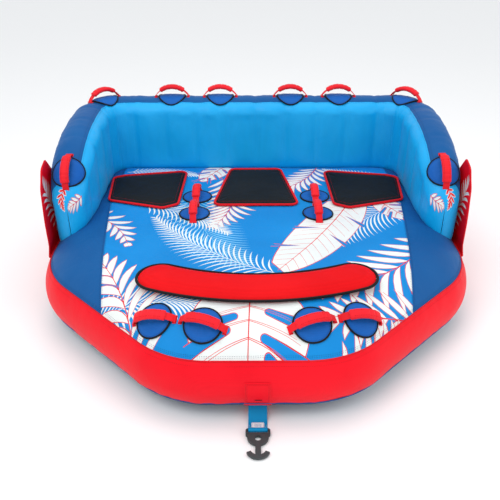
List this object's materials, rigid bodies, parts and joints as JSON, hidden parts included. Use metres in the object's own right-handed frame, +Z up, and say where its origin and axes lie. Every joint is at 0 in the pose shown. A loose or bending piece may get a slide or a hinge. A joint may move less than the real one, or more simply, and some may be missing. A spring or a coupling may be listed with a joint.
{
  "type": "towable tube",
  "caption": "Inflatable towable tube with a flat printed deck, a U-shaped inflated backrest, padded seats, webbing grips over knuckle guards, and a tow strap with a quick-connect hook.",
  "frame": {"origin": "centre of the bounding box in plan (with the tow hook laid out forwards), at the underside that rests on the floor", "axes": "+Z up, -Y towards the front (tow) end, +X to the right-hand side when looking from the front towards the backrest"},
  "size_m": [2.08, 2.072, 0.8775],
  "materials": {
    "bladder_vinyl": "satin vinyl",
    "navy_cover": "coated nylon",
    "red_cover": "coated nylon",
    "print_cover": "printed coated nylon",
    "blue_cover": "coated nylon",
    "red_print_cover": "printed coated nylon",
    "pad_fabric": "textured neoprene-like fabric",
    "red_pad_fabric": "padded fabric",
    "red_piping": "woven binding tape",
    "black_piping": "woven binding tape",
    "guard_fabric": "padded fabric",
    "grip_webbing": "padded webbing",
    "strap_webbing": "heavy webbing",
    "label": "woven label",
    "hook_nylon": "moulded glass-filled nylon",
    "valve_plastic": "moulded",
    "valve_cap": "moulded",
    "zip_metal": "painted",
    "brass_eyelet": "plated"
  },
  "bodies": {
    "tube": {"backrest_bladder_centre": "bladder_vinyl", "backrest_bladder_left": "bladder_vinyl", "backrest_bladder_right": "bladder_vinyl", "backrest_inner_panel": "blue_cover", "backrest_outer_panel": "red_print_cover", "backrest_top_strip": "navy_cover", "bumper_cover": "red_cover", "deck_panel": "print_cover", "drain_eyelets": "brass_eyelet", "grip_anchors_backrest": "grip_webbing", "grip_anchors_deck": "grip_webbing", "hull_bladder": "bladder_vinyl", "hull_bottom_cover": "navy_cover", "knuckle_pads_backrest": "guard_fabric", "knuckle_pads_deck": "guard_fabric", "knuckle_piping_backrest": "black_piping", "knuckle_piping_deck": "black_piping", "leg_pad": "red_pad_fabric", "leg_pad_piping": "black_piping", "seat_pad_centre": "pad_fabric", "seat_pad_left": "pad_fabric", "seat_pad_piping": "red_piping", "seat_pad_right": "pad_fabric", "side_panel_left": "navy_cover", "side_panel_right": "navy_cover", "side_wing_left": "red_print_cover", "side_wing_right": "red_print_cover", "tow_patch": "red_cover", "tow_tab": "strap_webbing", "valve_body_backrest": "valve_plastic", "valve_body_hull": "valve_plastic", "zipper_tape": "black_piping"},
    "grip_arm_left": {"grip_arm_left": "grip_webbing"},
    "grip_arm_right": {"grip_arm_right": "grip_webbing"},
    "grip_back_left_inner": {"grip_back_left_inner": "grip_webbing"},
    "grip_back_left_outer": {"grip_back_left_outer": "grip_webbing"},
    "grip_back_right_inner": {"grip_back_right_inner": "grip_webbing"},
    "grip_back_right_outer": {"grip_back_right_outer": "grip_webbing"},
    "grip_corner_left": {"grip_corner_left": "grip_webbing"},
    "grip_corner_right": {"grip_corner_right": "grip_webbing"},
    "grip_front_left_inner": {"grip_front_left_inner": "grip_webbing"},
    "grip_front_left_outer": {"grip_front_left_outer": "grip_webbing"},
    "grip_front_right_inner": {"grip_front_right_inner": "grip_webbing"},
    "grip_front_right_outer": {"grip_front_right_outer": "grip_webbing"},
    "grip_rear_left_back": {"grip_rear_left_back": "grip_webbing"},
    "grip_rear_left_front": {"grip_rear_left_front": "grip_webbing"},
    "grip_rear_right_back": {"grip_rear_right_back": "grip_webbing"},
    "grip_rear_right_front": {"grip_rear_right_front": "grip_webbing"},
    "tow_hook": {"tow_hook": "hook_nylon"},
    "valve_cap_backrest": {"valve_cap_backrest": "valve_cap"},
    "valve_cap_hull": {"valve_cap_hull": "valve_cap"},
    "valve_insert_backrest": {"valve_insert_backrest": "valve_plastic"},
    "valve_insert_hull": {"valve_insert_hull": "valve_plastic"},
    "zipper_pull": {"zipper_pull": "zip_metal"},
    "zipper_slider": {"zipper_slider": "zip_metal"},
    "tow_strap": {"tow_strap": "strap_webbing", "strap_label": "label"}
  },
  "joints": [
    {"name": "grip_front_left_outer_tip", "type": "hinge", "parent": "tube", "child": "grip_front_left_outer", "pos_m": [-0.41414, -0.64512, 0.36902], "axis": [0.927, -0.2642, 0.2661], "range_deg": [-28, 28]},
    {"name": "grip_front_left_inner_tip", "type": "hinge", "parent": "tube", "child": "grip_front_left_inner", "pos_m": [-0.21299, -0.70189, 0.38865], "axis": [0.9587, -0.2732, -0.0796], "range_deg": [-30, 30]},
    {"name": "grip_front_right_inner_tip", "type": "hinge", "parent": "tube", "child": "grip_front_right_inner", "pos_m": [0.21299, -0.70189, 0.38865], "axis": [0.9587, 0.2732, 0.0796], "range_deg": [-30, 30]},
    {"name": "grip_front_right_outer_tip", "type": "hinge", "parent": "tube", "child": "grip_front_right_outer", "pos_m": [0.41414, -0.64512, 0.36902], "axis": [0.927, 0.2642, -0.2661], "range_deg": [-28, 28]},
    {"name": "grip_rear_left_front_tip", "type": "hinge", "parent": "tube", "child": "grip_rear_left_front", "pos_m": [-0.312, 0.18, 0.4315], "axis": [0, 1, 0], "range_deg": [-30, 30]},
    {"name": "grip_rear_left_back_tip", "type": "hinge", "parent": "tube", "child": "grip_rear_left_back", "pos_m": [-0.312, 0.38, 0.4315], "axis": [0, 1, 0], "range_deg": [-30, 30]},
    {"name": "grip_rear_right_front_tip", "type": "hinge", "parent": "tube", "child": "grip_rear_right_front", "pos_m": [0.312, 0.18, 0.4315], "axis": [0, 1, 0], "range_deg": [-30, 30]},
    {"name": "grip_rear_right_back_tip", "type": "hinge", "parent": "tube", "child": "grip_rear_right_back", "pos_m": [0.312, 0.38, 0.4315], "axis": [0, 1, 0], "range_deg": [-30, 30]},
    {"name": "grip_back_left_outer_tip", "type": "hinge", "parent": "tube", "child": "grip_back_left_outer", "pos_m": [-0.475, 0.9, 0.8235], "axis": [1, 0, 0], "range_deg": [-30, 30]},
    {"name": "grip_back_left_inner_tip", "type": "hinge", "parent": "tube", "child": "grip_back_left_inner", "pos_m": [-0.2, 0.9, 0.8235], "axis": [1, 0, 0], "range_deg": [-30, 30]},
    {"name": "grip_back_right_inner_tip", "type": "hinge", "parent": "tube", "child": "grip_back_right_inner", "pos_m": [0.2, 0.9, 0.8235], "axis": [1, 0, 0], "range_deg": [-30, 30]},
    {"name": "grip_back_right_outer_tip", "type": "hinge", "parent": "tube", "child": "grip_back_right_outer", "pos_m": [0.475, 0.9, 0.8235], "axis": [1, 0, 0], "range_deg": [-30, 30]},
    {"name": "grip_corner_left_tip", "type": "hinge", "parent": "tube", "child": "grip_corner_left", "pos_m": [-0.85625, 0.85634, 0.82033], "axis": [0.7071, 0.7071, -0.0076], "range_deg": [-26, 26]},
    {"name": "grip_corner_right_tip", "type": "hinge", "parent": "tube", "child": "grip_corner_right", "pos_m": [0.85625, 0.85634, 0.82033], "axis": [0.7071, -0.7071, 0.0076], "range_deg": [-26, 26]},
    {"name": "grip_arm_left_tip", "type": "hinge", "parent": "tube", "child": "grip_arm_left", "pos_m": [-0.91, 0.14931, 0.66477], "axis": [0, 0.7193, 0.6947], "range_deg": [-22, 22]},
    {"name": "grip_arm_right_tip", "type": "hinge", "parent": "tube", "child": "grip_arm_right", "pos_m": [0.91, 0.14931, 0.66477], "axis": [0, 0.7193, 0.6947], "range_deg": [-22, 22]},
    {"name": "tow_strap_lift", "type": "hinge", "parent": "tube", "child": "tow_strap", "pos_m": [0, -0.79496, 0.04602], "axis": [-1, 0, 0], "range_deg": [0, 50]},
    {"name": "tow_hook_swing", "type": "hinge", "parent": "tow_strap", "child": "tow_hook", "pos_m": [0, -0.887, 0.01], "axis": [-1, 0, 0], "range_deg": [0, 50]},
    {"name": "valve_insert_hull_turn", "type": "hinge", "parent": "tube", "child": "valve_insert_hull", "pos_m": [-0.33, 1.039, 0.17], "axis": [0, 1, 0], "continuous": true},
    {"name": "valve_cap_hull_flip", "type": "hinge", "parent": "valve_insert_hull", "child": "valve_cap_hull", "pos_m": [-0.33, 1.0398, 0.1903], "axis": [1, 0, 0], "range_deg": [0, 150]},
    {"name": "valve_insert_backrest_turn", "type": "hinge", "parent": "tube", "child": "valve_insert_backrest", "pos_m": [-0.33, 1.006, 0.61], "axis": [0, 1, 0], "continuous": true},
    {"name": "valve_cap_backrest_flip", "type": "hinge", "parent": "valve_insert_backrest", "child": "valve_cap_backrest", "pos_m": [-0.33, 1.0068, 0.6303], "axis": [1, 0, 0], "range_deg": [0, 150]},
    {"name": "zipper_run", "type": "slide", "parent": "tube", "child": "zipper_slider", "axis": [1, 0, 0], "range_m": [0, 0.854]},
    {"name": "zipper_pull_swing", "type": "hinge", "parent": "zipper_slider", "child": "zipper_pull", "pos_m": [-0.427, 1.011, 0.478], "axis": [1, 0, 0], "range_deg": [0, 150]}
  ]
}
